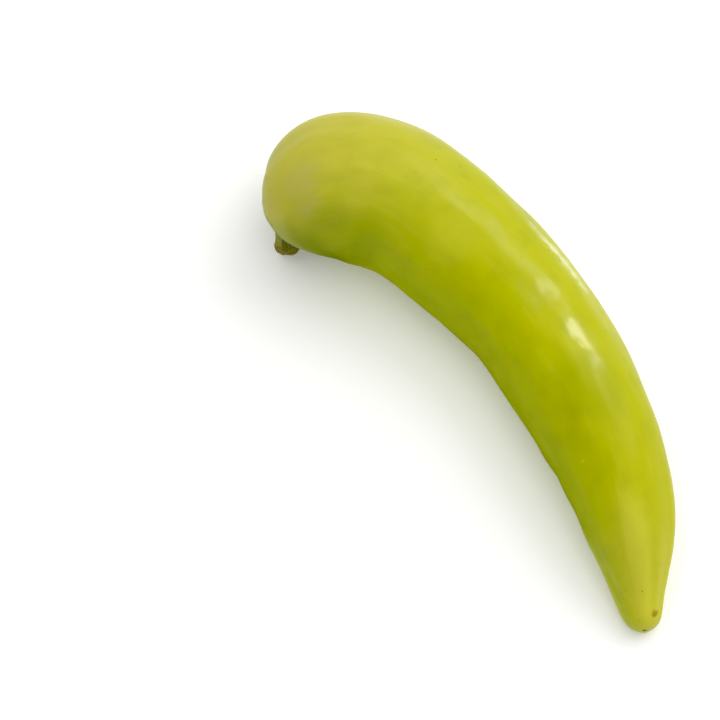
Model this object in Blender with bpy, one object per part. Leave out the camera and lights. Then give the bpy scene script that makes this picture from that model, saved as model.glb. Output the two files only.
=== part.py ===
"""A long, curved, yellow-green chilli pepper, as picked, lying on its side.

Three pieces grow together on the real fruit: the pod, the leafy calyx that caps its shoulder, and the
stubby stem. The pod is half an outline, drawn as if the fruit were straight, turned round a bent spine.
The calyx and the foot of the stem follow that same shoulder, each a hair above the one below.

The table is z = 0. The tip points to +X, the belly bulges to +Y and the stem hooks down at the -X end.
Lengths here are in millimetres.
"""

import math

import bmesh
import bpy
import numpy as np

MM = 0.001
GAP = 0.3

# The middle line of the pod, from the seat of the calyx to the tip. Its neck rises steeply from the stem.
SPINE = (
    (-69.7, -21.8, 12.4),
    (-65.7, -11.7, 19.1),
    (-53.6, 1.1, 23.0),
    (-36.4, 7.7, 21.1),
    (-9.1, 13.1, 18.2),
    (23.1, 11.5, 17.3),
    (50.1, 5.8, 14.3),
    (72.9, -3.7, 7.8),
    (84.0, -9.3, 3.4),
)
# Half the outline of the pod, (along, radius): the hollow seat, the shoulder, the long taper, the tip.
OUTLINE = (
    (5.2, 0.0),
    (4.6, 4.0),
    (2.3, 8.0),
    (0.4, 11.2),
    (2.0, 14.2),
    (6.4, 18.5),
    (14.5, 22.0),
    (27.0, 21.5),
    (55.0, 20.2),
    (85.0, 18.5),
    (112.0, 17.3),
    (137.0, 14.4),
    (156.0, 10.7),
    (170.0, 6.0),
    (176.8, 3.2),
    (178.4, 0.0),
)
POD_AROUND = 40
POD_RINGS = 54
# Three broad swellings run along the pod, drifting a little round it, and fade out at both ends.
LOBES = 3
LOBE_DEPTH = 0.012
LOBE_DRIFT = 0.006
# The seat leans under the shoulder: its rings tilt this much towards one angle, less and less further in.
SEAT_TILT = 0.3
SEAT_TILT_TO = math.radians(-70)
SEAT_TILT_DEPTH = 24

# The calyx: five pointed lobes on the shoulder, and how far each point reaches from the seat.
CALYX_POINTS = (13.2, 12.4, 13.8, 12.2, 13.0)
CALYX_NOTCH = 9.6
CALYX_TURN = 50
CALYX_THICK = 1.3
CALYX_EDGE = 0.45
CALYX_CURL = 0.5
CALYX_AROUND = 12 * len(CALYX_POINTS)
CALYX_RINGS = 7

# The stem: its middle line from the calyx to the broken end, and its radius along it.
STEM_LINE = (
    (-69.4, -19.9, 12.7),
    (-69.5, -21.9, 10.4),
    (-68.3, -24.2, 8.3),
    (-66.2, -26.4, 6.4),
    (-63.6, -28.5, 4.8),
)
STEM_RADII = (4.9, 5.6, 5.1, 4.3, 3.6)
STEM_FOOT = 4.0
STEM_SIDES = 5
STEM_RIDGE = 0.07
STEM_END_ROUND = 0.9
STEM_END_SHARE = 0.72
STEM_AROUND = 30
STEM_RINGS = 9


def clear_scene():
    for thing in list(bpy.data.objects):
        bpy.data.objects.remove(thing, do_unlink=True)


def smooth(points, count=500):
    """Evenly stepped points on the natural cubic spline through a few points."""
    points = np.array(points, float)
    knots = lengths_along(points)
    gaps = np.diff(knots)
    slopes = np.diff(points, axis=0) / gaps[:, None]
    system = np.eye(len(points))
    bends = np.zeros_like(points)
    for i in range(1, len(points) - 1):
        before, after = gaps[i - 1], gaps[i]
        system[i, i - 1 : i + 2] = before, 2 * (before + after), after
        bends[i] = 6 * (slopes[i] - slopes[i - 1])
    bends = np.linalg.solve(system, bends)
    at = np.linspace(0, knots[-1], count)
    i = np.clip(np.searchsorted(knots, at) - 1, 0, len(gaps) - 1)
    gap = gaps[i][:, None]
    b = (at - knots[i])[:, None] / gap
    a = 1 - b
    curve = ((a**3 - a) * bends[i] + (b**3 - b) * bends[i + 1]) * gap**2 / 6
    return a * points[i] + b * points[i + 1] + curve


def lengths_along(points):
    steps = np.linalg.norm(np.diff(points, axis=0), axis=1)
    return np.concatenate([[0], np.cumsum(steps)])


def read(line, lengths, at):
    """The rows of a line of points, read off at the given lengths along it."""
    return np.stack([np.interp(at, lengths, column) for column in line.T], axis=-1)


class Tube:
    """A smooth line through space, with a direction along it, one sideways and one upwards."""

    def __init__(self, points):
        self.line = smooth(points)
        self.lengths = lengths_along(self.line)
        self.length = self.lengths[-1]
        along = np.gradient(self.line, self.lengths, axis=0)
        side = np.cross((0, 0, 1), along)
        side /= np.linalg.norm(side, axis=1)[:, None]
        self.along = along
        self.side = side
        self.up = np.cross(along, side)

    def point(self, along, radius, angle):
        """A point beside the line. Past either end the line runs on straight."""
        along, radius, angle = np.broadcast_arrays(along, radius, angle)
        beyond = np.minimum(along, 0) + np.maximum(along - self.length, 0)
        middle = read(self.line, self.lengths, along)
        middle = middle + beyond[..., None] * read(self.along, self.lengths, along)
        side = np.cos(angle)[..., None] * read(self.side, self.lengths, along)
        up = np.sin(angle)[..., None] * read(self.up, self.lengths, along)
        return middle + radius[..., None] * (side + up)


class Pod:
    """The skin of the pod: a point for each reach along the outline and each angle round the spine."""

    def __init__(self):
        self.spine = Tube(SPINE)
        self.outline = smooth(OUTLINE)
        self.lengths = lengths_along(self.outline)
        self.reach = self.lengths[-1]
        slope = np.gradient(self.outline, self.lengths, axis=0)
        self.outward = np.stack([-slope[:, 1], slope[:, 0]], axis=-1)

    def point(self, reach, angle, lift=0.0):
        """A point on the skin, or lifted off it, never below the table."""
        reach, angle, lift = np.broadcast_arrays(reach, angle, lift)
        place = read(self.outline, self.lengths, reach)
        place = place + lift[..., None] * read(self.outward, self.lengths, reach)
        along, radius = place[..., 0], np.maximum(place[..., 1], 0)
        lean = np.clip(1 - along / SEAT_TILT_DEPTH, 0, 1.1) ** 2 * np.cos(angle - SEAT_TILT_TO)
        swell = np.sin(reach / self.reach * math.pi) * np.cos(LOBES * angle + LOBE_DRIFT * reach)
        points = self.spine.point(
            along + SEAT_TILT * lean * radius, radius * (1 + LOBE_DEPTH * swell), angle
        )
        points[..., 2] = np.maximum(points[..., 2], 0)
        return points


def turn(count):
    """Angles evenly round a full turn, ending just short of where they began."""
    return np.arange(count) * 2 * math.pi / count


def calyx_reach(angle):
    """How far the calyx reaches at each angle: a star of straight-sided points and shallow notches."""
    corners = len(CALYX_POINTS)
    angles = math.radians(CALYX_TURN) + np.arange(2 * corners + 1) * math.pi / corners
    reach = np.full(2 * corners + 1, CALYX_NOTCH)
    reach[0::2] = (*CALYX_POINTS, CALYX_POINTS[0])
    return np.interp(np.mod(angle - angles[0], 2 * math.pi) + angles[0], angles, reach)


def calyx_faces(pod):
    """The under and upper faces of the calyx, as rings of points from the seat out to its edge."""
    angle = turn(CALYX_AROUND)[None, :]
    share = np.linspace(0, 1, CALYX_RINGS)[:, None]
    edge = calyx_reach(angle)
    pointed = (edge - CALYX_NOTCH) / (max(CALYX_POINTS) - CALYX_NOTCH)
    curl = CALYX_CURL * pointed * share**4
    thick = CALYX_THICK + (CALYX_EDGE - CALYX_THICK) * share**2
    under = pod.point(share * edge, angle, GAP + curl)
    upper = pod.point(share * edge, angle, GAP + curl + thick)
    return under, upper


def stem_rings(pod):
    """Rings of the stem: its foot sits on the calyx, then it swells, bends and narrows to its end."""
    angle = turn(STEM_AROUND)
    foot = pod.point(np.full(STEM_AROUND, STEM_FOOT), angle, 2 * GAP + CALYX_THICK)
    line = Tube(STEM_LINE)
    share = np.linspace(0, 1, STEM_RINGS)
    radii = smooth([(i, radius) for i, radius in enumerate(STEM_RADII)])
    radius = np.interp(share * (len(STEM_RADII) - 1), radii[:, 0], radii[:, 1])
    # The stem's line leaves the pod while the pod's runs into it, so their angles turn opposite ways.
    back = math.pi - angle
    ridged = 1 + STEM_RIDGE * np.cos(STEM_SIDES * angle)
    tube = line.point(share[:, None] * line.length, radius[:, None] * ridged, back)
    rounded = line.point(line.length + STEM_END_ROUND, radius[-1] * STEM_END_SHARE * ridged, back)
    rings = np.concatenate([foot[None], tube, rounded[None]])
    rings[..., 2] = np.maximum(rings[..., 2], 0)
    return rings


def add_object(name, rings, material):
    """A closed skin through rings of points. A ring whose points all meet becomes a single vertex."""
    shape = bmesh.new()
    loops = []
    for ring in rings:
        if np.ptp(ring, axis=0).max() < 1e-6:
            loops.append([shape.verts.new(ring[0] * MM)])
        else:
            loops.append([shape.verts.new(point * MM) for point in ring])
    for here, there in zip(loops, loops[1:]):
        count = max(len(here), len(there))
        for i in range(count):
            j = (i + 1) % count
            corners = [here[i % len(here)], here[j % len(here)], there[j % len(there)], there[i % len(there)]]
            shape.faces.new(dict.fromkeys(corners))
    for loop in (loops[0], loops[-1]):
        if len(loop) > 1:
            shape.faces.new(loop)
    bmesh.ops.recalc_face_normals(shape, faces=shape.faces)
    mesh = bpy.data.meshes.new(name)
    shape.to_mesh(mesh)
    shape.free()
    mesh.materials.append(material)
    thing = bpy.data.objects.new(name, mesh)
    bpy.context.scene.collection.objects.link(thing)
    return thing


def add_material(name, colour, roughness):
    material = bpy.data.materials.new(name)
    material.use_nodes = True
    surface = material.node_tree.nodes["Principled BSDF"]
    surface.inputs["Base Color"].default_value = (*colour, 1)
    surface.inputs["Roughness"].default_value = roughness
    surface.inputs["Metallic"].default_value = 0
    return material


def main():
    clear_scene()
    pod = Pod()
    reach = np.linspace(0, pod.reach, POD_RINGS)[:, None]
    skin = pod.point(reach, turn(POD_AROUND)[None, :])
    add_object("pod", skin, add_material("waxy yellow-green skin", (0.50, 0.48, 0.03), 0.3))
    under, upper = calyx_faces(pod)
    calyx = np.concatenate([under, upper[::-1]])
    add_object("calyx", calyx, add_material("leafy dark green", (0.09, 0.16, 0.02), 0.5))
    add_object("stem", stem_rings(pod), add_material("pale green stem", (0.30, 0.38, 0.12), 0.5))


main()
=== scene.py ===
# %% [markdown]
# # A long, curved, yellow-green chilli pepper
# The real fruit is one hollow pod with a taut, waxy skin. It hangs from a star of thick green leaf, the
# calyx, on a stubby stem that snaps off when the fruit is picked. A plain CAD model already holds the
# places and sizes of these three pieces. This lesson loads it as a frame, makes each piece again in fine
# detail, gives it a finish made of nodes, and lights the pepper softly on a white table.

# %% Load the frame
import math

import bmesh
import bpy
import numpy as np
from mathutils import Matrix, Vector, noise


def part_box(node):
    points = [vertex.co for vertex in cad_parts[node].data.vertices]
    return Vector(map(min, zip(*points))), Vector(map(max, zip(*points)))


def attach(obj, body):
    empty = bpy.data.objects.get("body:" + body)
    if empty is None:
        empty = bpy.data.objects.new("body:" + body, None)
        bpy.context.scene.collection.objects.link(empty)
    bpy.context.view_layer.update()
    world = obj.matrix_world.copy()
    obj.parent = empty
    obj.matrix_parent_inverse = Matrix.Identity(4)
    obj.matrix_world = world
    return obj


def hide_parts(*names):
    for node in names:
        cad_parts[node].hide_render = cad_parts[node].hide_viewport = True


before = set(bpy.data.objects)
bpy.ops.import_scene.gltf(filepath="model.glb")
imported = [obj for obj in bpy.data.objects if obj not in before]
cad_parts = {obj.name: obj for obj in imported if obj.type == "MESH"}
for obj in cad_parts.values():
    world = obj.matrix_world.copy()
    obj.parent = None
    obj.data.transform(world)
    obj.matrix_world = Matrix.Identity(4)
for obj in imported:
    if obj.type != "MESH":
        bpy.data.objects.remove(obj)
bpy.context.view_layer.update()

# %% [markdown]
# Every size below is in millimetres of the real fruit. The frame's own pod, which is 44.2 of them high, says
# how long one is here, and the lowest corner of its box says where they start. Metres could be used at once,
# but this way everything that the lesson makes grows and moves with the frame.

# %% Measure the frame
POD_HEIGHT = 44.2
POD_CORNER = np.array((-85.89, -31.87, 0.0))
pod_low, pod_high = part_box("pod")
MM = (pod_high.z - pod_low.z) / POD_HEIGHT


def in_frame(points):
    """Points in millimetres, moved into the frame."""
    return np.array(pod_low) + (np.asarray(points, float) - POD_CORNER) * MM


print(f"One millimetre of pepper is {MM:.6f} m in the frame")

# %% [markdown]
# ## The camera
# A long lens from high above shows the curve of the fruit with little perspective. The camera looks at a
# point beside the pepper, so that the pepper lies at the upper right of the view. A Track To constraint
# could aim it, but turning it once towards its target leaves nothing behind to go wrong.

# %% Set up the camera
CAMERA_TARGET = (-20.1, -32.5, 15.0)
CAMERA_AZIMUTH = 55.9
CAMERA_ELEVATION = 70
CAMERA_DISTANCE = 560
CAMERA_LENS = 100
CAMERA_SENSOR = 36
NEAREST_SEEN = 0.01


def look_from(azimuth, elevation):
    """The way from the pepper to someone looking at it. Azimuth 0 is in front, and 90 is at its right."""
    turned, raised = math.radians(azimuth), math.radians(elevation)
    return Vector(
        (math.sin(turned) * math.cos(raised), -math.cos(turned) * math.cos(raised), math.sin(raised))
    )


def stand_at(thing, target, azimuth, elevation, distance):
    """Puts a camera or a lamp that far from the target, facing it."""
    way = look_from(azimuth, elevation)
    thing.location = Vector(in_frame(target)) + way * distance * MM
    thing.rotation_euler = way.to_track_quat("Z", "Y").to_euler()
    bpy.context.scene.collection.objects.link(thing)


lens = bpy.data.cameras.new("camera")
lens.lens = CAMERA_LENS
lens.sensor_width = CAMERA_SENSOR
lens.clip_start = NEAREST_SEEN
camera = bpy.data.objects.new("camera", lens)
stand_at(camera, CAMERA_TARGET, CAMERA_AZIMUTH, CAMERA_ELEVATION, CAMERA_DISTANCE)
bpy.context.scene.camera = camera
print("The camera stands at", [round(place, 3) for place in camera.location])

# %% [markdown]
# ## The light
# Soft light keeps a glossy fruit from breaking into glare. A wide panel hangs overhead and another stands
# behind the belly. The one overhead isn't mirrored in the fruit, as if seen through a polarising filter, or
# its reflection would veil the whole skin in white.
#
# A glossy pod also has short, bright highlights. A small panel would draw them, but it would change the
# shading as well. So two small lamps are seen only in reflections: one high behind the belly, and a low strip
# beside it for the thin line near its edge.

# %% Hang the lamps
FRUIT_MIDDLE = (0, 0, 15)
BELLY = (22, 14, 34)
BELLY_EDGE = (-12, 30, 7)
# Each lamp: what it faces, its azimuth and elevation in degrees, its distance, width and height in
# millimetres, and its power in watts.
LAMPS = {
    "overhead_panel": (FRUIT_MIDDLE, 210, 74, 1500, 2200, 2200, 20.4),
    "back_panel": (FRUIT_MIDDLE, 183, 46, 1500, 1400, 900, 6.5),
    "glint_lamp": (BELLY, 189, 48, 600, 150, 300, 1.2),
    "edge_strip": (BELLY_EDGE, 180, 0, 44, 40, 12, 0.003),
}
NOT_MIRRORED = ("overhead_panel",)
ONLY_MIRRORED = ("glint_lamp", "edge_strip")


def add_soft_box(name, target, azimuth, elevation, distance, width, height, watts):
    """A flat, glowing panel that the camera itself doesn't see."""
    lamp = bpy.data.lights.new(name, "AREA")
    lamp.shape = "RECTANGLE"
    lamp.size = width * MM
    lamp.size_y = height * MM
    lamp.energy = watts
    box = bpy.data.objects.new(name, lamp)
    box.visible_camera = False
    box.visible_glossy = name not in NOT_MIRRORED
    box.visible_diffuse = name not in ONLY_MIRRORED
    stand_at(box, target, azimuth, elevation, distance)
    print(f"{name}: {width} by {height} mm, {watts} W")


for name, sizes in LAMPS.items():
    add_soft_box(name, *sizes)

# %% [markdown]
# Light also comes from all round. A panorama of a room could give it, but its windows would be mirrored in
# the skin. A world of one pale colour stands for the white walls of a studio. The view is kept plain too, and
# a small black level deepens the darkest greens.

# %% Paint the room and set the view
ROOM_COLOUR = (1.0, 0.995, 0.985, 1)
ROOM_STRENGTH = 0.41
BLACK_LEVEL = 0.012

room = bpy.data.worlds.new("pale_room")
room.use_nodes = True
background = room.node_tree.nodes["Background"]
background.inputs["Color"].default_value = ROOM_COLOUR
background.inputs["Strength"].default_value = ROOM_STRENGTH
bpy.context.scene.world = room
look = bpy.context.scene.view_settings
look.view_transform = "Standard"
look.use_curve_mapping = True
look.curve_mapping.black_level = (BLACK_LEVEL, BLACK_LEVEL, BLACK_LEVEL)
look.curve_mapping.update()
print("The room's strength is", ROOM_STRENGTH, "and the view is", look.view_transform)

# %% [markdown]
# ## Lines and tubes
# A pepper is almost a turned shape on a bent axis, so two lines describe it: a spine through the flesh,
# and half an outline as if the fruit were straight. A curve object with a bevel would give a tube too, but
# it can't follow an outline that folds back on itself at the stem. A few lines of arithmetic can.

# %% Helpers that draw smooth lines


def lengths_along(points):
    """How far along a line of points each point is."""
    steps = np.linalg.norm(np.diff(points, axis=0), axis=1)
    return np.concatenate([[0], np.cumsum(steps)])


def smooth(points, count=500):
    """Evenly stepped points on the natural cubic spline through a few points."""
    points = np.array(points, float)
    knots = lengths_along(points)
    gaps = np.diff(knots)
    slopes = np.diff(points, axis=0) / gaps[:, None]
    system = np.eye(len(points))
    bends = np.zeros_like(points)
    for i in range(1, len(points) - 1):
        before, after = gaps[i - 1], gaps[i]
        system[i, i - 1 : i + 2] = before, 2 * (before + after), after
        bends[i] = 6 * (slopes[i] - slopes[i - 1])
    bends = np.linalg.solve(system, bends)
    at = np.linspace(0, knots[-1], count)
    i = np.clip(np.searchsorted(knots, at) - 1, 0, len(gaps) - 1)
    gap = gaps[i][:, None]
    b = (at - knots[i])[:, None] / gap
    a = 1 - b
    curve = ((a**3 - a) * bends[i] + (b**3 - b) * bends[i + 1]) * gap**2 / 6
    return a * points[i] + b * points[i + 1] + curve


def read(line, lengths, at):
    """The rows of a line of points, read off at the given lengths along it."""
    return np.stack([np.interp(at, lengths, column) for column in line.T], axis=-1)


class Tube:
    """A smooth line through space, with a direction along it, one sideways and one upwards."""

    def __init__(self, points):
        self.line = smooth(points)
        self.lengths = lengths_along(self.line)
        self.length = self.lengths[-1]
        along = np.gradient(self.line, self.lengths, axis=0)
        side = np.cross((0, 0, 1), along)
        side /= np.linalg.norm(side, axis=1)[:, None]
        self.along = along
        self.side = side
        self.up = np.cross(along, side)

    def point(self, along, radius, angle):
        """A point beside the line. Past either end the line runs on straight."""
        along, radius, angle = np.broadcast_arrays(along, radius, angle)
        beyond = np.minimum(along, 0) + np.maximum(along - self.length, 0)
        middle = read(self.line, self.lengths, along)
        middle = middle + beyond[..., None] * read(self.along, self.lengths, along)
        side = np.cos(angle)[..., None] * read(self.side, self.lengths, along)
        up = np.sin(angle)[..., None] * read(self.up, self.lengths, along)
        return middle + radius[..., None] * (side + up)


# %% Lay the spine
# The middle line of the pod, from the seat of the calyx to the tip.
SPINE = (
    (-69.7, -21.8, 12.4), (-65.7, -11.7, 19.1), (-53.6, 1.1, 23.0), (-36.4, 7.7, 21.1),
    (-9.1, 13.1, 18.2), (23.1, 11.5, 17.3), (50.1, 5.8, 14.3), (72.9, -3.7, 7.8), (84.0, -9.3, 3.4),
)
spine = Tube(SPINE)
print(f"The spine is {spine.length:.1f} mm long")

# %% [markdown]
# ## The pod
# The outline starts in the hollow seat of the stem, climbs over the shoulder, tapers slowly and closes at
# the tip. The skin is that outline turned round the spine, with three broad swellings along it as a real
# pod has. A Screw modifier could turn an outline too, but only round a straight axis.
#
# A place on the skin is named by its reach, the distance walked along the outline from the seat, and its
# angle round the spine: 0 degrees is the belly, 90 the top, 180 the inside of the bend and 270 the underside.

# %% Describe the pod
# Each point of the outline: how far along the spine it is, and its distance from the spine.
OUTLINE = (
    (5.2, 0.0), (4.6, 4.0), (2.3, 8.0), (0.4, 11.2), (2.0, 14.2), (6.4, 18.5), (14.5, 22.0), (27.0, 21.5),
    (55.0, 20.2), (85.0, 18.5), (112.0, 17.3), (137.0, 14.4), (156.0, 10.7), (170.0, 6.0), (176.8, 3.2),
    (178.4, 0.0),
)
print(f"The outline has {len(OUTLINE)} points")

# %% Turn the outline round the spine
LOBES = 3
LOBE_DEPTH = 0.012
LOBE_DRIFT = 0.006
SEAT_TILT = 0.3
SEAT_TILT_TO = math.radians(-70)
SEAT_TILT_DEPTH = 24
SEAT_TILT_MOST = 1.1


class Pod:
    """The skin of the pod: a point for each reach along the outline and each angle round the spine."""

    def __init__(self):
        self.outline = smooth(OUTLINE)
        self.lengths = lengths_along(self.outline)
        self.reach = self.lengths[-1]
        slope = np.gradient(self.outline, self.lengths, axis=0)
        self.outward = np.stack([-slope[:, 1], slope[:, 0]], axis=-1)

    def profile(self, reach):
        """How far along the fruit a reach is, and how thick the fruit is there."""
        along, radius = np.moveaxis(read(self.outline, self.lengths, reach), -1, 0)
        return along, np.maximum(radius, 0)

    def straight(self, reach, angle):
        """The same place on the fruit as if it had grown straight."""
        reach, angle = np.broadcast_arrays(reach, angle)
        along, radius = self.profile(reach)
        return np.stack([along, radius * np.cos(angle), radius * np.sin(angle)], axis=-1)

    def point(self, reach, angle, lift=0.0):
        """A point on the skin, or lifted off it, never below the table."""
        reach, angle, lift = np.broadcast_arrays(reach, angle, lift)
        place = read(self.outline, self.lengths, reach)
        place = place + lift[..., None] * read(self.outward, self.lengths, reach)
        along, radius = place[..., 0], np.maximum(place[..., 1], 0)
        lean = np.clip(1 - along / SEAT_TILT_DEPTH, 0, SEAT_TILT_MOST) ** 2 * np.cos(angle - SEAT_TILT_TO)
        swell = np.sin(reach / self.reach * math.pi) * np.cos(LOBES * angle + LOBE_DRIFT * reach)
        points = spine.point(
            along + SEAT_TILT * lean * radius, radius * (1 + LOBE_DEPTH * swell), angle
        )
        points[..., 2] = np.maximum(points[..., 2], 0)
        return points


pod = Pod()
print(f"The outline is {pod.reach:.1f} mm long")

# %% [markdown]
# A real skin is never that even. Furrows start under the calyx and fade along the fruit, dents mark where
# it grew against a leaf, low waves make every highlight wobble, and the tip is pinched into a blunt corner.
# A Displace modifier could push the skin about, but only blindly. Here each furrow and dent has its own
# place, and a little Perlin noise from mathutils adds the waves.

# %% Place the furrows, dents and ridges
# Each furrow: its angle in degrees, its depth in millimetres, and its half width in degrees.
FURROWS = ((62, 0.8, 13), (180, 1.0, 12), (298, 0.8, 14))
# How strong the furrows are at each reach.
FURROW_STRENGTH = (
    (0, 0.0), (3, 0.4), (10, 1.0), (16, 0.8), (26, 0.3), (45, 0.15), (150, 0.15), (180, 0.35), (199, 0.0),
)
# Each dent: its reach, its angle in degrees, its length, its width and its depth in millimetres. A depth
# below 0 is a bump.
DENTS = (
    (31, 193, 9.0, 12.0, 1.2), (57, 200, 8.0, 9.0, -0.6), (49, 235, 7.0, 12.0, -1.5),
    (33, 245, 7.0, 9.0, 0.9), (146, 192, 4.0, 8.0, 0.45), (38, 142, 9.0, 4.0, 0.30),
    (93, 104, 7.0, 5.0, 0.22), (101, 86, 5.0, 5.0, 0.30), (109, 78, 3.0, 5.0, -0.15),
    (117, 71, 4.5, 4.5, 0.26), (150, 118, 8.0, 5.0, 0.30), (60, 20, 14.0, 6.0, 0.30),
    (128, 235, 12.0, 6.0, 0.35), (84, 265, 16.0, 6.0, 0.30), (177, 72, 13.0, 1.5, 0.45),
    (186, 195, 8.0, 6.0, -0.90), (192, 250, 6.0, 5.0, -0.30),
)
# Each ridge near the tip: its angle in degrees, its height in millimetres and its half width in degrees.
TIP_RIDGES = ((28, 0.6, 12), (95, 0.5, 19), (205, 0.15, 18), (300, 0.3, 18))
TIP_RIDGE_STRENGTH = ((135, 0.0), (165, 1.0), (185, 0.6), (194, 0.3), (199.0, 0.0))
# The pale band on the pinched tip: its angle and half width in degrees, and how strong it is at each reach.
TIP_BAND = (95, 17)
TIP_BAND_STRENGTH = ((150, 0.0), (166, 1.0), (188, 1.0), (197, 0.0))
print(f"{len(FURROWS)} furrows, {len(DENTS)} dents and {len(TIP_RIDGES)} ridges")

# %% Helpers that shape the relief
# The size of the waves along and across the straight fruit, and their height.
WAVE_SIZE = np.array((13.0, 7.0, 7.0))
WAVE_HEIGHT = 0.42
WAVE_STRENGTH = ((0, 1.0), (165, 1.0), (185, 0.4), (199, 0.0))
RIPPLE_SIZE = np.array((4.5, 3.2, 3.2))
RIPPLE_HEIGHT = 0.07
RIPPLE_START = 17.0


def wrapped(angle):
    """The same angle between minus half a turn and half a turn."""
    return np.mod(angle + math.pi, 2 * math.pi) - math.pi


def bell(distance, width):
    """1 where the distance is 0, falling smoothly to nearly 0 at twice the width."""
    return np.exp(-((distance / width) ** 2))


def strength(table, at):
    """A value read off a short table of (place, value)."""
    places, values = zip(*table)
    return np.interp(at, places, values)


def waves(place, size, start=0.0):
    """Smooth noise between about -1 and 1. The size is half a wave, and another start gives other waves."""
    flat = (place / size + start).reshape(-1, 3)
    return np.array([noise.noise(Vector(point)) for point in flat]).reshape(place.shape[:-1])


def relief(reach, angle):
    """How far the skin stands out from the plain outline, in millimetres."""
    reach, angle = np.broadcast_arrays(reach, angle)
    radius = pod.profile(reach)[1]
    straight = pod.straight(reach, angle)
    drifted = angle + LOBE_DRIFT * reach / LOBES
    total = np.zeros(reach.shape)
    for turned, depth, width in FURROWS:
        across = wrapped(drifted - math.radians(turned))
        total -= depth * strength(FURROW_STRENGTH, reach) * bell(across, math.radians(width))
    for turned, height, width in TIP_RIDGES:
        across = wrapped(angle - math.radians(turned))
        total += height * strength(TIP_RIDGE_STRENGTH, reach) * bell(across, math.radians(width))
    for dent_reach, turned, length, width, depth in DENTS:
        across = wrapped(angle - math.radians(turned)) * radius
        total -= depth * bell(reach - dent_reach, length) * bell(across, width)
    total += WAVE_HEIGHT * strength(WAVE_STRENGTH, reach) * waves(straight, WAVE_SIZE)
    total += RIPPLE_HEIGHT * waves(straight, RIPPLE_SIZE, RIPPLE_START)
    return total


sample = relief(np.linspace(10, 190, 40)[:, None], np.radians(np.arange(0, 360, 15))[None, :])
print(f"The relief runs from {sample.min():.2f} to {sample.max():.2f} mm")

# %% [markdown]
# One helper turns rings of points into a closed mesh. It could be lofted by hand, but a grid of quads from
# numbers is even, and knows where each vertex lies on the fruit. The helper also lays the grid flat in a UV
# map for baking, and stores named values on the vertices for the finishes to read.

# %% Helpers that make a mesh from rings
TOUCHING = 1e-7
# In the UV map each row of faces is this tall, and the first one starts this far up.
RING_SHARE = 0.999
RING_MARGIN = 0.02


def around(count):
    """Angles evenly round a full turn, ending just short of where they began."""
    return np.arange(count) * 2 * math.pi / count


def grid_faces(count, steps):
    """The quads between rings of points, and where their corners lie on a flat grid."""
    ring = np.repeat(np.arange(count - 1), steps)
    step = np.tile(np.arange(steps), count - 1)
    after = (step + 1) % steps
    here, there = ring * steps, (ring + 1) * steps
    corners = np.stack([here + step, here + after, there + after, there + step], axis=1)
    across = np.stack([step, step + 1, step + 1, step], axis=1) / steps
    upward = np.stack([ring, ring, ring + 1, ring + 1], axis=1) * RING_SHARE + RING_MARGIN
    return corners, across, upward


def store_values(mesh, marks):
    """Numbers and places that the vertices of a mesh carry."""
    for key, values in marks.items():
        values = np.concatenate(values)
        kind, field = ("FLOAT_VECTOR", "vector") if values.shape[1] == 3 else ("FLOAT", "value")
        mesh.attributes.new(key, kind, "POINT").data.foreach_set(field, values.ravel())


def close_up(mesh):
    """Joins the points that meet, turns the faces outwards and counts the edges that are still open."""
    shape = bmesh.new()
    shape.from_mesh(mesh)
    bmesh.ops.remove_doubles(shape, verts=shape.verts, dist=TOUCHING)
    bmesh.ops.recalc_face_normals(shape, faces=shape.faces)
    open_edges = sum(1 for edge in shape.edges if len(edge.link_faces) != 2)
    shape.to_mesh(mesh)
    shape.free()
    return open_edges


# %% A helper that makes a whole piece


def add_piece(name, skins):
    """A smooth piece from one or more closed skins. Each skin is rings of points, and values they carry."""
    places, faces, spots, marks = [], [], [], {}
    ring_total = sum(len(rings) for rings, values in skins)
    first_vertex, first_ring = 0, 0
    for rings, values in skins:
        count, steps = rings.shape[:2]
        places.append(in_frame(rings.reshape(-1, 3)))
        for key, value in values.items():
            marks.setdefault(key, []).append(np.reshape(value, (count * steps, -1)))
        corners, across, upward = grid_faces(count, steps)
        faces.append(corners + first_vertex)
        spots.append(np.stack([across, (first_ring + upward) / ring_total], axis=2))
        first_vertex += count * steps
        first_ring += count
    mesh = bpy.data.meshes.new(name)
    mesh.from_pydata(np.concatenate(places).tolist(), [], np.concatenate(faces).tolist())
    flat_map = mesh.uv_layers.new(name="OFBake")
    flat_map.data.foreach_set("uv", np.concatenate(spots).ravel())
    store_values(mesh, marks)
    open_edges = close_up(mesh)
    mesh.shade_smooth()
    piece = bpy.data.objects.new(name, mesh)
    bpy.context.scene.collection.objects.link(piece)
    print(f"{name}: {len(mesh.vertices)} vertices, {len(mesh.polygons)} faces, {open_edges} open edges")
    return piece


# %% [markdown]
# The skin is 400 rings of 216 points, about 0.5 mm apart, which is fine enough for every furrow to be real
# geometry. A coarser mesh with a Subdivision Surface modifier would be smooth as well, but it would smear the
# small dents. The vertices also carry what the finish needs to know, such as how deep the place lies.

# %% Make the skin of the pod
SKIN_AROUND = 216
SKIN_RINGS = 400
# The side painted yellower: partly where the sun yellowed the skin, partly painted light from the lamps above
# the belly.
SUNNED_AND_LIT_SIDE = math.radians(50)

reach = np.linspace(0, pod.reach, SKIN_RINGS)[:, None]
angle = around(SKIN_AROUND)[None, :]
skin_relief = relief(reach, angle)
skin_rings = pod.point(reach, angle, skin_relief)
# Both ends close in a point.
for end in (0, -1):
    skin_rings[end] = skin_rings[end].mean(axis=0)
band_angle, band_width = (math.radians(degrees) for degrees in TIP_BAND)
skin_values = {
    "straight": pod.straight(reach, angle),
    "reach": np.broadcast_to(reach, skin_relief.shape),
    "sunned_and_lit": np.broadcast_to(0.5 + 0.5 * np.cos(angle - SUNNED_AND_LIT_SIDE), skin_relief.shape),
    "hollow": -skin_relief,
    "band": bell(wrapped(angle - band_angle), band_width) * strength(TIP_BAND_STRENGTH, reach),
}
skin = add_piece("pod_skin", [(skin_rings, skin_values)])

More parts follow.
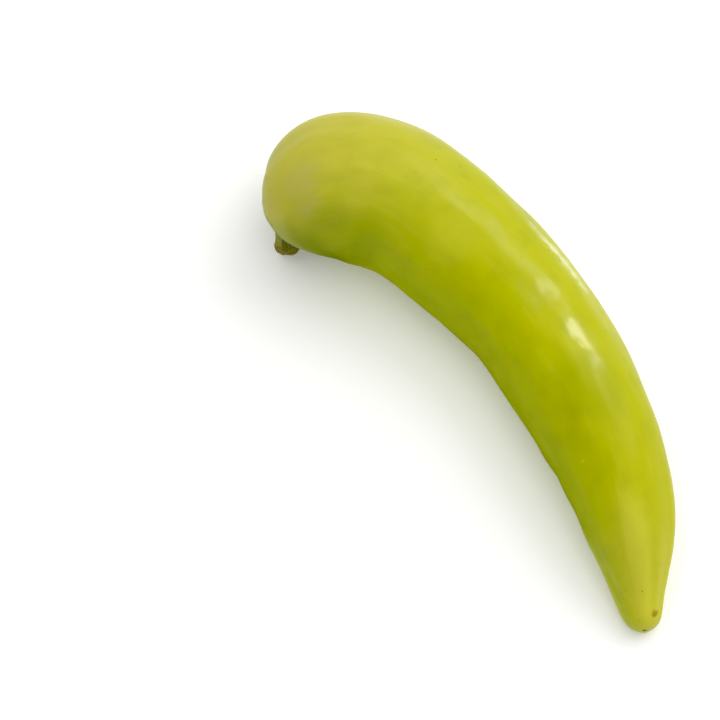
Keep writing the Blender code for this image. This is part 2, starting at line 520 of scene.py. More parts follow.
# %% [markdown]
# ## The calyx
# The calyx is the remains of the flower: five broad, straight-sided points of thick leaf that grow pressed
# to the shoulder. A rib runs out along each point and ends in a small, dry, hooked thorn. It could be a flat
# star shrink-wrapped on the pod. Building it on the pod's own reach and angle is surer: the leaf then follows
# every furrow under it, a hair above the skin.

# %% Describe the calyx
GAP = 0.3
CALYX_POINTS = (11.9, 11.2, 13.8, 12.2, 13.0)
CALYX_NOTCH = 9.6
CALYX_TURN = math.radians(50)
CALYX_THICK = 1.3
CALYX_EDGE = 0.45
CALYX_CURL = 0.25
EDGE_CURL = 0.15
EDGE_ROUND = 0.18
LEAST_THICK = 0.3
# The leaf starts to be shaped at this reach, and is fully shaped a little further out.
SHAPED_FROM = 4.5
SHAPED_OVER = 2.5
point_angles = CALYX_TURN + around(len(CALYX_POINTS))


def calyx_reach(angle):
    """How far the calyx reaches at each angle: a star of straight-sided points and shallow notches."""
    corners = len(CALYX_POINTS)
    angles = CALYX_TURN + np.arange(2 * corners + 1) * math.pi / corners
    reach = np.full(2 * corners + 1, CALYX_NOTCH)
    reach[0::2] = (*CALYX_POINTS, CALYX_POINTS[0])
    return np.interp(np.mod(angle - angles[0], 2 * math.pi) + angles[0], angles, reach)


print("The points of the calyx reach", CALYX_POINTS, "mm from the seat")

# %% Raise ribs and folds on the leaf
RIB_HEIGHT = 0.6
RIB_SINK = 0.55
RIB_WIDTH = 0.85
FOLD_DEPTH = 0.9
FOLD_WIDTH = 1.5
LEAF_WRINKLE_SIZE = np.array((2.6, 2.0, 2.0))
LEAF_WRINKLE = 0.22
LEAF_GRAIN_SIZE = np.array((0.8, 0.7, 0.7))
LEAF_GRAIN = 0.06


def leaf_faces(share, angle):
    """The lift of the under and upper faces of the calyx off the pod, and how much of it is rib."""
    edge = calyx_reach(angle)
    reach = share * edge
    radius = pod.profile(reach)[1]
    pointed = (edge - CALYX_NOTCH) / (max(CALYX_POINTS) - CALYX_NOTCH)
    clear_of_stem = np.clip((reach - SHAPED_FROM) / SHAPED_OVER, 0, 1)
    rib = np.zeros(np.broadcast(share, angle).shape)
    fold = np.zeros_like(rib)
    for turned in point_angles:
        rib += bell(wrapped(angle - turned) * radius, RIB_WIDTH * (1.25 - 0.5 * share))
        fold += bell(wrapped(angle - turned - math.pi / len(CALYX_POINTS)) * radius, FOLD_WIDTH)
    straight = pod.straight(reach, angle)
    wrinkle = LEAF_WRINKLE * waves(straight, LEAF_WRINKLE_SIZE, 5.0)
    wrinkle += LEAF_GRAIN * waves(straight, LEAF_GRAIN_SIZE, 9.0)
    under = GAP + relief(reach, angle) + CALYX_CURL * pointed * share**4
    under = under + EDGE_CURL * share**6 * (1 + waves(straight, 3.0, 2.0))
    thick = CALYX_THICK + (CALYX_EDGE - CALYX_THICK) * share**2
    shaped = RIB_HEIGHT * rib * (1 - RIB_SINK * share) - FOLD_DEPTH * fold * (1 - share) * share + wrinkle
    upper = under + np.maximum(thick + clear_of_stem * shaped, LEAST_THICK)
    return under, upper, rib


# %% Shape the leaf
CALYX_AROUND = 300
CALYX_RINGS = 46

share = np.linspace(0, 1, CALYX_RINGS)[:, None]
angle = around(CALYX_AROUND)[None, :]
under, upper, rib = leaf_faces(share, angle)
edge = calyx_reach(angle)
rim_lift = (under[-1] + upper[-1]) / 2
under_rings = pod.point(share * edge, angle, under)
rim_ring = pod.point(edge + EDGE_ROUND, angle, rim_lift[None, :])
upper_rings = pod.point(share[::-1] * edge, angle, upper[::-1])
leaf_rings = np.concatenate([under_rings, rim_ring, upper_rings])
leaf_share = np.concatenate([share, [[1.0]], share[::-1]]) * np.ones_like(angle)
leaf_values = {
    "straight": pod.straight(leaf_share * edge, angle),
    "share": leaf_share,
    "rib": np.concatenate([rib, rib[-1:], rib[::-1]]),
    "dry": np.zeros_like(leaf_share),
}
print(f"The leaf is up to {(upper - under).max():.2f} mm thick")

# %% [markdown]
# The thorns are tapered tubes. Each starts inside the leaf near the end of a rib, runs out over the edge
# and hooks away from the skin. Copies of one thorn would do, but no two of them dry in the same way.

# %% Grow a thorn from each point of the calyx
THORN_AROUND = 18
THORN_RINGS = 22
THORN_RADII = (0.65, 0.62, 0.48, 0.34, 0.2)
THORN_SIZES = (0.2, 0.2, 1.2, 0.9, 1.3)
THORN_LEAN = math.radians(3)
# A thorn rounds off over this share of its length at its root, and over this share at its point.
ROOT_SHARE = 0.04
POINT_SHARE = 0.06


def thorn(i):
    """The rings of one thorn, and the values that its vertices carry."""
    end = CALYX_POINTS[i]
    turned = point_angles[i]
    size = THORN_SIZES[i]
    lean = THORN_LEAN * math.sin(1.7 * i)
    route = [
        pod.point(end - 2.2, turned, 1.0),
        pod.point(end - 1.2, turned, 1.0),
        pod.point(end - 0.3, turned + lean, 0.95),
        pod.point(end + 0.35 * size, turned + 2 * lean, 0.9),
        pod.point(end + 0.8 * size, turned + 3 * lean, 1.05),
    ]
    tube = Tube(route)
    along = np.linspace(0, 1, THORN_RINGS)[:, None]
    angle = around(THORN_AROUND)[None, :]
    radius = np.interp(along * (len(THORN_RADII) - 1), np.arange(len(THORN_RADII)), THORN_RADII)
    radius = radius * np.sqrt(np.clip(along / ROOT_SHARE, 0, 1))
    radius = radius * np.sqrt(np.clip((1 - along) / POINT_SHARE, 0, 1))
    knobbly = 1 + 0.12 * np.cos(4 * angle + 9 * along) + 0.1 * np.sin(17 * along + i)
    rings = tube.point(along * tube.length, radius * knobbly, angle)
    whole = np.ones(rings.shape[:2])
    dry = np.clip(along * 1.6 - 0.15, 0, 1) * whole
    return rings, {"straight": rings, "share": whole, "rib": whole, "dry": dry}


thorns = [thorn(i) for i in range(len(CALYX_POINTS))]
calyx = add_piece("calyx_leaf", [(leaf_rings, leaf_values), *thorns])

# %% [markdown]
# ## The stem
# The stem swells into a five-sided knob over the calyx, bends and narrows to where it snapped. Grooves run
# along it, one of them deep enough to look like a split, and the broken end is dry, brownish and crumbly. A
# curve with a bevel and a Displace modifier could stand for it, but its grooves have to run with the bend.
# So it is a tube again, with its grooves and its ragged end worked into the rings.

# %% Describe the stem
STEM_LINE = (
    (-69.4, -19.9, 12.7), (-69.5, -21.9, 10.4), (-68.3, -24.2, 8.3), (-66.2, -26.4, 6.4),
    (-63.6, -28.5, 4.8),
)
STEM_RADII = (4.9, 5.3, 4.3, 3.7, 3.9)
STEM_FOOT = 4.0
STEM_SIDES = 5
STEM_RIDGE = 0.07
STEM_RIDGE_FINE = 0.02
# Each groove: its angle in degrees, its depth in millimetres, its half width in degrees, and the shares of
# the stem's length at which it starts and ends.
GROOVES = (
    (335, 1.5, 9, 0.18, 1.3), (118, 0.4, 10, 0.1, 0.9), (40, 0.6, 8, 0.05, 0.9), (190, 0.8, 10, 0.1, 0.8),
    (255, 0.6, 7, 0.3, 1.2), (75, 0.35, 5, 0.3, 1.2),
)
GROOVE_WANDER = 0.16
GROOVE_FADE = 0.2
KNOB_SIZE = np.array((3.4, 2.6, 2.6))
KNOB_HEIGHT = 0.55
FIBRE_SIZE = np.array((5.0, 0.55, 0.55))
FIBRE_HEIGHT = 0.16
END_TAPER = 0.06
stem_line = Tube(STEM_LINE)
print(f"The stem is {stem_line.length:.1f} mm long, with {len(GROOVES)} grooves")

# %% A helper that cuts the grooves


def round_middle(along, radius, angle):
    """The same place as if the stem were straight."""
    return np.stack(np.broadcast_arrays(along, radius * np.cos(angle), radius * np.sin(angle)), axis=-1)


def stem_surface(share, angle):
    """The radius of the stem at each share of its length, and how deep each place lies in a groove."""
    radii = smooth([(i, radius) for i, radius in enumerate(STEM_RADII)])
    radius = np.interp(share * (len(STEM_RADII) - 1), radii[:, 0], radii[:, 1])
    straight = round_middle(share * stem_line.length, radius, angle)
    sides = STEM_RIDGE * np.cos(STEM_SIDES * angle) + STEM_RIDGE_FINE * np.cos(2 * STEM_SIDES * angle)
    groove = np.zeros(straight.shape[:-1])
    depth_total = np.zeros_like(groove)
    for turned, depth, width, start, end in GROOVES:
        wander = GROOVE_WANDER * waves(straight * (1, 0, 0), 4.0, turned)
        across = bell(wrapped(angle + wander - math.radians(turned)), math.radians(width))
        run = np.clip((share - start) / GROOVE_FADE, 0, 1) * np.clip((end - share) / GROOVE_FADE, 0, 1)
        groove = np.maximum(groove, across * run * min(depth, 1))
        depth_total += depth * across * run
    rough = KNOB_HEIGHT * waves(straight, KNOB_SIZE, 3.0) + FIBRE_HEIGHT * waves(straight, FIBRE_SIZE, 7.0)
    radius = radius * (1 + sides) * (1 - END_TAPER * np.clip(share, 0, 1) ** 3)
    return radius - depth_total + rough, groove, straight


# %% Shape the side of the stem
STEM_AROUND = 216
STEM_RINGS = 110
STEM_SIDE_END = 0.94
NECK_RINGS = 10
FOOT_LIFT = 1.7

angle = around(STEM_AROUND)[None, :]
# The stem's line leaves the pod while the pod's runs into it, so their angles turn opposite ways.
back = math.pi - angle
share = np.linspace(0, STEM_SIDE_END, STEM_RINGS)[:, None]
radius, groove, straight = stem_surface(share, angle)
side_rings = stem_line.point(share * stem_line.length, radius, back)
foot = pod.point(np.full((1, STEM_AROUND), STEM_FOOT), angle, FOOT_LIFT)
foot_middle = np.broadcast_to(foot.mean(axis=1, keepdims=True), foot.shape)
# The first rings slide from the foot on the calyx out to the knob.
rise = np.linspace(0, 1, NECK_RINGS + 2)[1:-1, None, None]
neck = foot + (side_rings[:1] - foot) * rise
print(f"The side of the stem is {radius.min():.1f} to {radius.max():.1f} mm in radius")

# %% Break off the end of the stem
CRUMB_SIZE = 0.9
CRUMB_HEIGHT = 0.35
# The broken end, ring by ring: how much of the radius is left, and how far it stands past the stem's side.
BROKEN_END = (
    (0.98, 0.4), (0.94, 0.9), (0.87, 1.4), (0.77, 1.9), (0.64, 2.3), (0.49, 2.55), (0.33, 2.65),
    (0.17, 2.65), (0.0, 2.6),
)
STEM_LOWEST = 0.2

end_rings, end_straight = [], []
side_length = STEM_SIDE_END * stem_line.length
for left, past in BROKEN_END:
    at = round_middle(past, radius[-1:] * left, angle)
    crumbs = CRUMB_HEIGHT * waves(at * (0, 1, 1), CRUMB_SIZE, 4.0) * (left > 0)
    end_rings.append(stem_line.point(side_length + past + crumbs, radius[-1:] * left, back))
    end_straight.append(at + (side_length, 0, 0))
stem_rings = np.concatenate([foot_middle, foot, neck, side_rings, *end_rings])
stem_rings[..., 2] = np.maximum(stem_rings[..., 2], STEM_LOWEST)
print(f"The end of the stem is {radius[-1].mean():.1f} mm in radius")

# %% Make the stem
before = 2 + NECK_RINGS
after = len(BROKEN_END)


def along_stem(side):
    """A value for every ring: 0 up to the knob, then its own at each ring of the side, and 1 on the end."""
    whole = np.concatenate([np.zeros((before, 1)), side, np.ones((after, 1))])
    return whole * np.ones((1, STEM_AROUND))


end_groove = np.repeat(groove[-1:], after, axis=0)
stem_values = {
    "straight": np.concatenate([np.repeat(straight[:1], before, axis=0), straight, *end_straight]),
    "groove": np.concatenate([np.zeros((before, STEM_AROUND)), groove, end_groove]),
    "broken": along_stem(np.clip(share * 6 - 4.6, 0, 0.4)),
    "knob": along_stem(share),
}
stem = add_piece("stem_knob", [(stem_rings, stem_values)])

# %% [markdown]
# ## Writing finishes as sums
# Nodes can be linked one by one, but such a tree is slow to read. A small class wraps one socket, so that
# sums are written as plain Python: 1 - mask adds a Math node by itself. A second class holds the material and
# adds any other node, from its type, its settings and what its sockets take.

# %% A helper that writes shader sums


class Value:
    """A socket that takes part in sums. Each sign adds one Math node."""

    def __init__(self, finish, socket):
        self.finish = finish
        self.socket = socket

    def combined(self, operation, first, second):
        sockets = {"Value": first, "Value_001": second}
        return self.finish.node("ShaderNodeMath", {"operation": operation}, sockets)

    def __add__(self, other):
        return self.combined("ADD", self, other)

    def __radd__(self, other):
        return self.combined("ADD", other, self)

    def __sub__(self, other):
        return self.combined("SUBTRACT", self, other)

    def __rsub__(self, other):
        return self.combined("SUBTRACT", other, self)

    def __mul__(self, other):
        return self.combined("MULTIPLY", self, other)

    def __rmul__(self, other):
        return self.combined("MULTIPLY", other, self)

    def most(self, other):
        """The greater of the two."""
        return self.combined("MAXIMUM", self, other)


# %% A helper that makes materials


class Finish:
    """A material while it is made."""

    def __init__(self, name):
        self.material = bpy.data.materials.new(name)
        self.material.use_nodes = True
        self.tree = self.material.node_tree
        self.surface = self.tree.nodes["Principled BSDF"]

    def pick(self, sockets, name):
        """A socket by its identifier, such as Value_001, or else by its name or number."""
        for socket in sockets:
            if socket.identifier == name:
                return socket
        return sockets[name]

    def feed(self, socket, value):
        """Links a value to a socket, or sets a plain number, vector or colour on it."""
        if isinstance(value, Value):
            self.tree.links.new(value.socket, socket)
        else:
            socket.default_value = value

    def node(self, kind, settings=None, inputs=None, output=0):
        """Adds any node: its type, its settings, what its sockets take, and the output that is wanted."""
        node = self.tree.nodes.new(kind)
        for name, value in (settings or {}).items():
            setattr(node, name, value)
        for name, value in (inputs or {}).items():
            self.feed(self.pick(node.inputs, name), value)
        return Value(self, self.pick(node.outputs, output))

    def number(self, name):
        """A number that the vertices carry."""
        return self.node("ShaderNodeAttribute", {"attribute_name": name}, output="Fac")

    def place(self, name, stretch=(1, 1, 1)):
        """A place that the vertices carry, multiplied so that patterns come out longer or shorter."""
        place = self.node("ShaderNodeAttribute", {"attribute_name": name}, output="Vector")
        return self.node("ShaderNodeVectorMath", {"operation": "MULTIPLY"}, {0: place, 1: stretch})

    def noise(self, place, scale, detail=3.0, roughness=0.5, distortion=0.0):
        """Clouds between 0 and 1, mostly near 0.5."""
        sockets = {"Vector": place, "Scale": scale, "Detail": detail}
        sockets |= {"Roughness": roughness, "Distortion": distortion}
        return self.node("ShaderNodeTexNoise", {}, sockets)

    def dots(self, place, scale, randomness):
        """The distance to the nearest of many scattered dots."""
        sockets = {"Vector": place, "Scale": scale, "Randomness": randomness}
        return self.node("ShaderNodeTexVoronoi", {"feature": "F1"}, sockets, "Distance")

    def between(self, value, low, high):
        """0 at the low end, 1 at the high end, and a smooth step from one to the other."""
        sockets = {"Value": value, "From Min": low, "From Max": high}
        return self.node("ShaderNodeMapRange", {"interpolation_type": "SMOOTHSTEP"}, sockets)

    def blend(self, mask, without, covered):
        """One colour where the mask is 0 and the other where it is 1."""
        sockets = {"Factor_Float": mask, "A_Color": without, "B_Color": covered}
        return self.node("ShaderNodeMix", {"data_type": "RGBA"}, sockets, "Result_Color")

    def layered(self, base, layers):
        """A colour under others. Each layer of them: where it lies, how strong it is, and its colour."""
        for mask, amount, tint in layers:
            base = self.blend(mask * amount, base, tint)
        return base

    def near(self, place, spot, radius, ragged):
        """1 at one spot, falling to 0 at that radius, with a ragged edge."""
        distance = self.node("ShaderNodeVectorMath", {"operation": "DISTANCE"}, {0: place, 1: spot}, "Value")
        return self.between(distance + ragged * radius, radius, radius * 0.4)

    def bump(self, height, depth, strength=1.0, under=None):
        """A Bump node. The depth is in millimetres, for a height of 1."""
        sockets = {"Height": height, "Distance": depth * MM, "Strength": strength}
        if under is not None:
            sockets["Normal"] = under
        return self.node("ShaderNodeBump", {}, sockets)

    def finish(self, changing, constant):
        """Feeds the Principled shader: what changes over the surface, and what is the same all over."""
        for name, value in {**changing, **constant}.items():
            self.feed(self.pick(self.surface.inputs, name), value)
        print(f"{self.material.name}: {len(self.tree.nodes)} nodes")
        return self.material


def colour(red, green, blue):
    return (red, green, blue, 1.0)


# %% [markdown]
# ## The waxy skin
# The flesh under the wax is yellow-green. It is yellower towards the top of the belly and greener on the
# inside of the bend, partly where the sun reached it and partly as painted light and shade for the light from
# above the belly. Faint streaks run along the fruit. Its hollows are a deeper green as painted shade and its
# swellings paler as painted light, and the seat round the stem is dark green as painted shade under the
# calyx. A painted image could show all that, but noise textures need no painting. The one for the streaks
# reads the straight place, stretched along the fruit, so the streaks follow the bend.

# %% Mix the flesh of the pod
# Yellows on the side towards the light and green on the inside of the bend: partly the skin's own tone,
# partly painted light and shade.
YELLOW_SIDE = colour(0.465, 0.472, 0.003)
GREEN_SIDE = colour(0.425, 0.495, 0.0)
SHOULDER_YELLOW = colour(0.53, 0.49, 0.06)
DEEP_GREEN = colour(0.20, 0.26, 0.0)
PALE_STREAK = colour(0.60, 0.59, 0.05)
# Painted shade for the seat round the stem, under the calyx.
SEAT_SHADE_GREEN = colour(0.15, 0.21, 0.012)
TIP_YELLOW = colour(0.62, 0.59, 0.05)
LONG_STREAKS = (0.12, 1, 1)

wax = Finish("waxy yellow-green skin")
place = wax.place("straight")
long_place = wax.place("straight", LONG_STREAKS)
along = wax.number("reach")
sunned_and_lit = wax.number("sunned_and_lit")
hollow = wax.number("hollow")
streaks = wax.noise(long_place, 0.45, 4.0, 0.55, 0.3)
fine_streaks = wax.noise(long_place, 1.6, 3.0, 0.6)
mottle = wax.noise(place, 0.07, 3.0, 0.5, 0.4)
blotches = wax.noise(place, 0.16, 2.0, 0.5)
grain = wax.noise(place, 1.3, 4.0, 0.6)
# The side towards the light, which takes the yellows: partly sun-yellowed skin, partly painted light.
side = wax.between(sunned_and_lit + (mottle - 0.5) * 0.5 + (streaks - 0.5) * 0.2, 0.25, 0.9)
band = wax.between(wax.number("band") + (streaks - 0.5) * 0.5, 0.15, 0.8)
# The seat round the stem: painted shade under the calyx in the colour, and a little rougher wax.
seat = wax.between(along + (streaks - 0.5) * 12, 19, 9)
flesh_layers = (
    (side, 1.0, YELLOW_SIDE),
    (wax.between(along, 75, 22) * side, 1.0, SHOULDER_YELLOW),
    # Painted shade in the hollows of the relief, and painted light on its swellings.
    (wax.between(hollow, 0.05, 1.1), 0.35, DEEP_GREEN),
    (wax.between(hollow, -0.1, -0.8), 0.4, PALE_STREAK),
    (wax.between(streaks, 0.5, 0.75), 0.22, PALE_STREAK),
    (wax.between(fine_streaks, 0.55, 0.72), 0.06, DEEP_GREEN),
    (wax.between(blotches, 0.45, 0.7), 0.12, DEEP_GREEN),
    (wax.between(along, 150, 188) * side, 0.7, TIP_YELLOW),
    (band, 0.5, PALE_STREAK),
    (seat, 0.8, SEAT_SHADE_GREEN),
)
flesh = wax.layered(GREEN_SIDE, flesh_layers)
print(f"The flesh has {len(flesh_layers)} layers")

# %% [markdown]
# Real skin is also marked. A dull bloom lies across the shoulder, the tip is scarred where the flower fell
# off, and rubs, specks and pale pits are scattered about. They could be painted by hand. Here each larger
# mark is a patch round one spot, with noise to fray its edge, and a Voronoi texture scatters the small ones.
# Three patches are painted light instead. Painted shade greens the furrow inside the bend by the shoulder and
# the top further along, and a painted sheen pales the top behind the shoulder.

# %% Mark the skin
BLOOM = colour(0.47, 0.43, 0.12)
TIP_RING = colour(0.42, 0.40, 0.05)
SCAR_BROWN = colour(0.25, 0.12, 0.012)
SPECK_BROWN = colour(0.10, 0.07, 0.015)
# Each patch: its reach, its angle in degrees, its radius in millimetres, and how strong it is.
BLOOM_PATCHES = ((31, 99, 7.0, 1.0), (31, 110, 7.0, 1.0), (31, 122, 7.0, 1.0))
# Painted shade on the furrow inside the bend, by the shoulder.
SHOULDER_SHADE_PATCHES = ((22, 165, 17.0, 1.0), (34, 156, 16.0, 0.45), (46, 164, 16.0, 0.45))
# Painted shade on the top of the fruit, past its middle.
TOP_SHADE_PATCH = (131, 99, 15.0, 1.0)
# A painted sheen on the top of the fruit, behind the shoulder.
PAINTED_SHEEN_PATCH = (71, 112, 10.0, 1.0)
RUB = (191, 61, 1.7, 1.0)
TIP_SCAR = (196.3, 100, 0.95, 1.0)
ROUND_SCAR = (197, 100, 3.2, 1.0)
NICK = (146, 129, 0.8, 1.0)


def marked(patches, ragged):
    """1 inside the patches and 0 outside them."""
    mask = 0.0
    for reach, degrees, radius, amount in patches:
        spot = tuple(pod.straight(reach, math.radians(degrees)).tolist())
        mask = (wax.near(place, spot, radius, ragged) * amount).most(mask)
    return mask


bloom = marked(BLOOM_PATCHES, wax.noise(place, 0.30, 4.0, 0.65, 0.6) - 0.2)
speck = wax.between(wax.dots(place, 0.34, 1.0), 0.10, 0.05) * wax.between(wax.noise(place, 0.05), 0.52, 0.6)
pale_pit = wax.between(wax.dots(place, 0.9, 0.9), 0.16, 0.05)
ragged = wax.noise(place, 0.9, 3.0) - 0.4
rub = marked([RUB], ragged)
tip_scar = marked([TIP_SCAR], ragged)
scars = rub.most(tip_scar).most(speck)
mark_layers = (
    # The first three layers are painted shade, painted shade and a painted sheen. The rest are marks of the
    # skin.
    (marked(SHOULDER_SHADE_PATCHES, (mottle - 0.5) * 0.6), 0.65, DEEP_GREEN),
    (marked([TOP_SHADE_PATCH], (mottle - 0.5) * 0.8), 0.25, DEEP_GREEN),
    (marked([PAINTED_SHEEN_PATCH], (streaks - 0.5) * 0.8), 0.25, PALE_STREAK),
    (bloom, 0.45, BLOOM),
    (speck, 0.55, SPECK_BROWN),
    (pale_pit, 0.12, PALE_STREAK),
    (marked([ROUND_SCAR], ragged), 0.35, TIP_RING),
    (rub, 0.65, SCAR_BROWN),
    (tip_scar, 0.9, SPECK_BROWN),
    (marked([NICK], ragged), 0.4, PALE_STREAK),
)
flesh = wax.layered(flesh, mark_layers)
print(f"The marks add {len(mark_layers)} layers")

# %% [markdown]
# The wax is a thin, clear coat over a softer gloss. It is worn dull by the bloom and the scars, and rubbed
# bright on the crest of the belly and along its edge. An even coat would be simpler, but each small lamp
# would then draw one unbroken line on it, so it is thick only in the polished patches. Light also goes a
# little way into the flesh, which softens every shadow.

# %% Wax the skin
# Patches as before: reach, angle, radius and strength.
POLISHED = (
    (96, 95, 2.8, 0.5), (84, 41, 2.6, 1.0), (88, 40, 3.0, 1.0), (92, 38, 3.2, 1.0), (96, 37, 3.2, 1.0),
    (100, 36, 3.0, 1.0), (104, 36, 2.6, 1.0), (101, 84, 5.5, 0.45), (114, 76, 4.2, 1.0),
    (118, 70, 4.6, 1.0), (124, 67, 5.0, 0.45),
)
EVEN_GLOSS = 0.47
EVEN_COAT = 0.07
POLISHED_COAT = 0.85
STREAK_DEPTH = 0.06
GRAIN_DEPTH = 0.012
LIGHT_REACH = 3.5

polish = marked(POLISHED, wax.noise(place, 0.5, 3.0, 0.5, 0.5) - 0.5)
gloss = EVEN_GLOSS + (mottle - 0.5) * 0.12 + (grain - 0.5) * 0.06 + bloom * 0.2 + scars * 0.3 + seat * 0.15
uneven = wax.between(mottle * 0.4 + blotches * 0.6, 0.3, 0.7) * 0.06
coat = uneven + EVEN_COAT + polish * POLISHED_COAT - bloom * 0.05
shallow = wax.bump(fine_streaks * 0.6 + streaks * 0.4, STREAK_DEPTH, 0.5)
rough_skin = wax.bump(grain - pale_pit * 0.5 - scars * 1.5, GRAIN_DEPTH, 0.6, shallow)
waxy_skin = wax.finish(
    {"Base Color": flesh, "Roughness": gloss, "Coat Weight": coat, "Normal": rough_skin},
    {
        "Coat Roughness": 0.17,
        "Coat IOR": 1.4,
        "IOR": 1.36,
        "Specular IOR Level": 0.3,
        "Subsurface Weight": 0.12,
        "Subsurface Radius": (1.0, 0.9, 0.12),
        "Subsurface Scale": LIGHT_REACH * MM,
    },
)

# %% [markdown]
# ## The leafy calyx
# Leaf scatters light more than wax does, so the calyx is nearly matt. It is darkest between its ribs, pale
# along them and at its thin edge, and browned where it dried. Masks could be painted for the ribs and the
# thorns, but their vertices already say what they are.

# %% Mix the finish of the calyx
LEAF_GREEN = colour(0.085, 0.16, 0.014)
LEAF_DARK = colour(0.035, 0.075, 0.008)
LEAF_RIB = colour(0.22, 0.30, 0.05)
LEAF_EDGE = colour(0.26, 0.27, 0.06)
DRY_BROWN = colour(0.075, 0.038, 0.012)
DRY_PALE = colour(0.22, 0.15, 0.06)
VEIN_DEPTH = 0.16

leaf = Finish("leafy dark green")
place = leaf.place("straight")
dry = leaf.number("dry")
rib = leaf.number("rib")
share = leaf.number("share")
veins = leaf.noise(place, 0.9, 5.0, 0.6, 0.8)
mottle = leaf.noise(place, 0.28, 3.0)
grain = leaf.noise(place, 3.2, 3.0)
thorny = leaf.blend(leaf.between(grain, 0.3, 0.7), DRY_BROWN, DRY_PALE)
leaf_layers = (
    (leaf.between(veins, 0.35, 0.68), 1.0, LEAF_GREEN),
    (leaf.between(rib, 0.25, 1.0), 0.6, LEAF_RIB),
    (leaf.between(share + (mottle - 0.5) * 0.2, 0.9, 1.0), 0.6, LEAF_EDGE),
    (leaf.between(mottle + share * 0.15, 0.66, 0.8), 0.5, DRY_PALE),
    (leaf.between(dry, 0.05, 0.6), 1.0, thorny),
)
green = leaf.layered(LEAF_DARK, leaf_layers)
leaf_bump = leaf.bump(grain * 0.4 + veins, VEIN_DEPTH, 0.7)
leafy_green = leaf.finish(
    {"Base Color": green, "Roughness": 0.5 + (veins - 0.5) * 0.3 + dry * 0.25, "Normal": leaf_bump},
    {"IOR": 1.4, "Subsurface Weight": 0.08, "Subsurface Radius": (0.6, 1.0, 0.2), "Subsurface Scale": MM},
)

# %% [markdown]
# ## The fibrous stem
# The stem is a dull yellow-green with long, paler fibres. Its grooves are painted dark as painted shade, cork
# spreads in patches from the broken end, and the break itself is dark, dry pith. The fibres could be
# geometry, but they are finer than the mesh, so noise stretched along the stem colours and raises them.

# %% Mix the finish of the stem
STEM_GREEN = colour(0.29, 0.29, 0.03)
STEM_PALE = colour(0.40, 0.38, 0.09)
STEM_DEEP = colour(0.07, 0.09, 0.02)
CORK = colour(0.31, 0.27, 0.045)
PITH_DARK = colour(0.15, 0.125, 0.012)
PITH_PALE = colour(0.33, 0.30, 0.05)
LONG_FIBRES = (0.14, 1, 1)
FIBRE_DEPTH = 0.22

fibre = Finish("pale fibrous stem")
place = fibre.place("straight")
long_place = fibre.place("straight", LONG_FIBRES)
groove = fibre.number("groove")
broken = fibre.number("broken")
knob = fibre.number("knob")
fibres = fibre.noise(long_place, 2.2, 4.0, 0.6, 0.2)
mottle = fibre.noise(place, 0.35, 3.0)
grain = fibre.noise(place, 2.6, 4.0, 0.6)
pith = fibre.blend(fibre.between(grain, 0.35, 0.65), PITH_DARK, PITH_PALE)
corky = fibre.between(knob * 0.55 + (mottle - 0.5) * 0.9 + (grain - 0.5) * 0.5, 0.42, 0.75)
bark_layers = (
    (fibre.between(fibres, 0.35, 0.7), 1.0, STEM_PALE),
    (fibre.between(mottle, 0.5, 0.75), 0.4, STEM_DEEP),
    # Painted shade in the grooves.
    (fibre.between(groove, 0.15, 0.8), 0.85, STEM_DEEP),
    (corky, 0.5, CORK),
    (fibre.between(broken + (grain - 0.5) * 0.5, 0.45, 0.8), 1.0, pith),
)
bark = fibre.layered(STEM_GREEN, bark_layers)
stem_bump = fibre.bump(grain * 0.5 + fibres, FIBRE_DEPTH, 0.8)
fibrous_stem = fibre.finish(
    {"Base Color": bark, "Roughness": 0.55 + (grain - 0.5) * 0.3 + broken * 0.2, "Normal": stem_bump},
    {
        "Subsurface Weight": 0.05,
        "Subsurface Radius": (0.8, 1.0, 0.3),
        "Subsurface Scale": MM,
        "IOR": 1.4,
        "Specular IOR Level": 0.25,
    },
)

# %% [markdown]
# ## Onto the frame
# The pod, its calyx and its stem grow as one, so on the frame they all ride on its one body. Parenting would
# hold them together too, but these calls also say which plain piece each new one replaces.

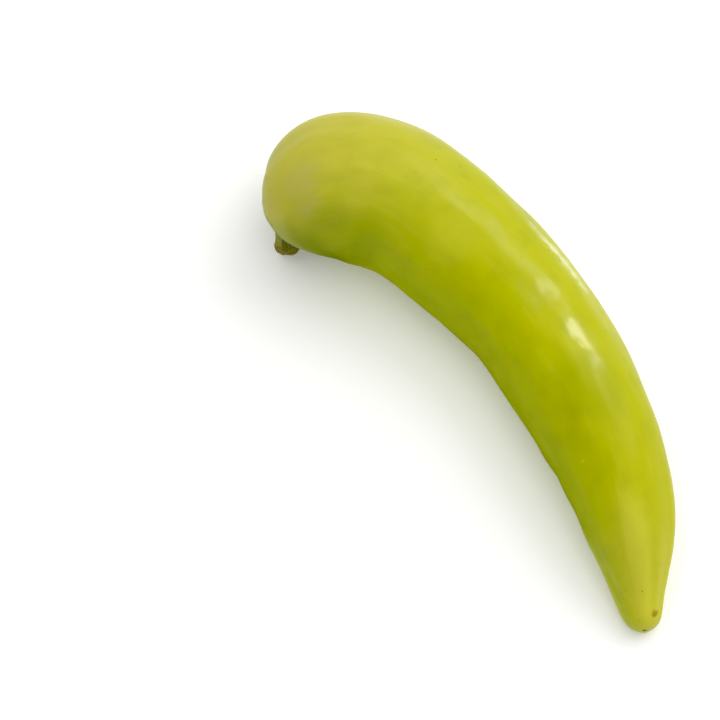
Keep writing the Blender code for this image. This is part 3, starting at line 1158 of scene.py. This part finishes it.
# %% Join the pieces to the frame
skin.data.materials.append(waxy_skin)
calyx.data.materials.append(leafy_green)
stem.data.materials.append(fibrous_stem)
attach(skin, "root")
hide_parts("pod")
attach(calyx, "root")
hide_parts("calyx")
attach(stem, "root")
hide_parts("stem")
print("On the frame:", skin.name, calyx.name, stem.name)

# %% [markdown]
# ## The table
# The pepper lies on a broad sheet of matt white paper, which belongs to the stage. A brighter room would
# whiten the paper, but bleach the fruit too. So the paper glows a little by itself.

# %% Lay the table
TABLE_REACH = 3000
TABLE_TURNS = ((-1, -1), (1, -1), (1, 1), (-1, 1))
TABLE_WHITE = colour(0.88, 0.88, 0.88)
TABLE_SHADE = colour(0.86, 0.86, 0.86)
TABLE_GLOW = 0.2
PAPER_GRAIN = 900


def lay_flat(name, corners, material):
    """A flat sheet, from its corners in millimetres."""
    mesh = bpy.data.meshes.new(name)
    mesh.from_pydata(in_frame(corners).tolist(), [], [range(len(corners))])
    mesh.materials.append(material)
    piece = bpy.data.objects.new(name, mesh)
    bpy.context.scene.collection.objects.link(piece)
    return piece


paper = Finish("white table")
paper_grain = paper.noise(paper.node("ShaderNodeTexCoord", output="Object"), PAPER_GRAIN, 2.0)
white_table = paper.finish(
    {"Base Color": paper.blend(paper_grain, TABLE_SHADE, TABLE_WHITE)},
    {
        "Roughness": 1.0,
        "Specular IOR Level": 0.0,
        "Emission Color": TABLE_WHITE,
        "Emission Strength": TABLE_GLOW,
    },
)
table = lay_flat("table", [(x * TABLE_REACH, y * TABLE_REACH, 0) for x, y in TABLE_TURNS], white_table)

# %% [markdown]
# The inner side of the bend would mirror the white paper and look milky. A darker paper would cure it, but a
# black card, as studios use, is simpler. This one shows in reflections only, and never on the paper.

# %% Lay the dark card
CARD_CORNERS = ((-44, 6), (36, 6), (70, -34), (140, -300), (-120, -300))
CARD_HEIGHT = 0.1
CARD_BLACK = colour(0.01, 0.012, 0.0)

black = Finish("black card")
black_card = black.finish({}, {"Base Color": CARD_BLACK, "Roughness": 1.0, "Specular IOR Level": 0.0})
card = lay_flat("dark_card", [(x, y, CARD_HEIGHT) for x, y in CARD_CORNERS], black_card)
card.visible_camera = False
card.visible_diffuse = False
card.visible_transmission = False
card.visible_shadow = False
print("The card is seen in reflections:", card.visible_glossy)
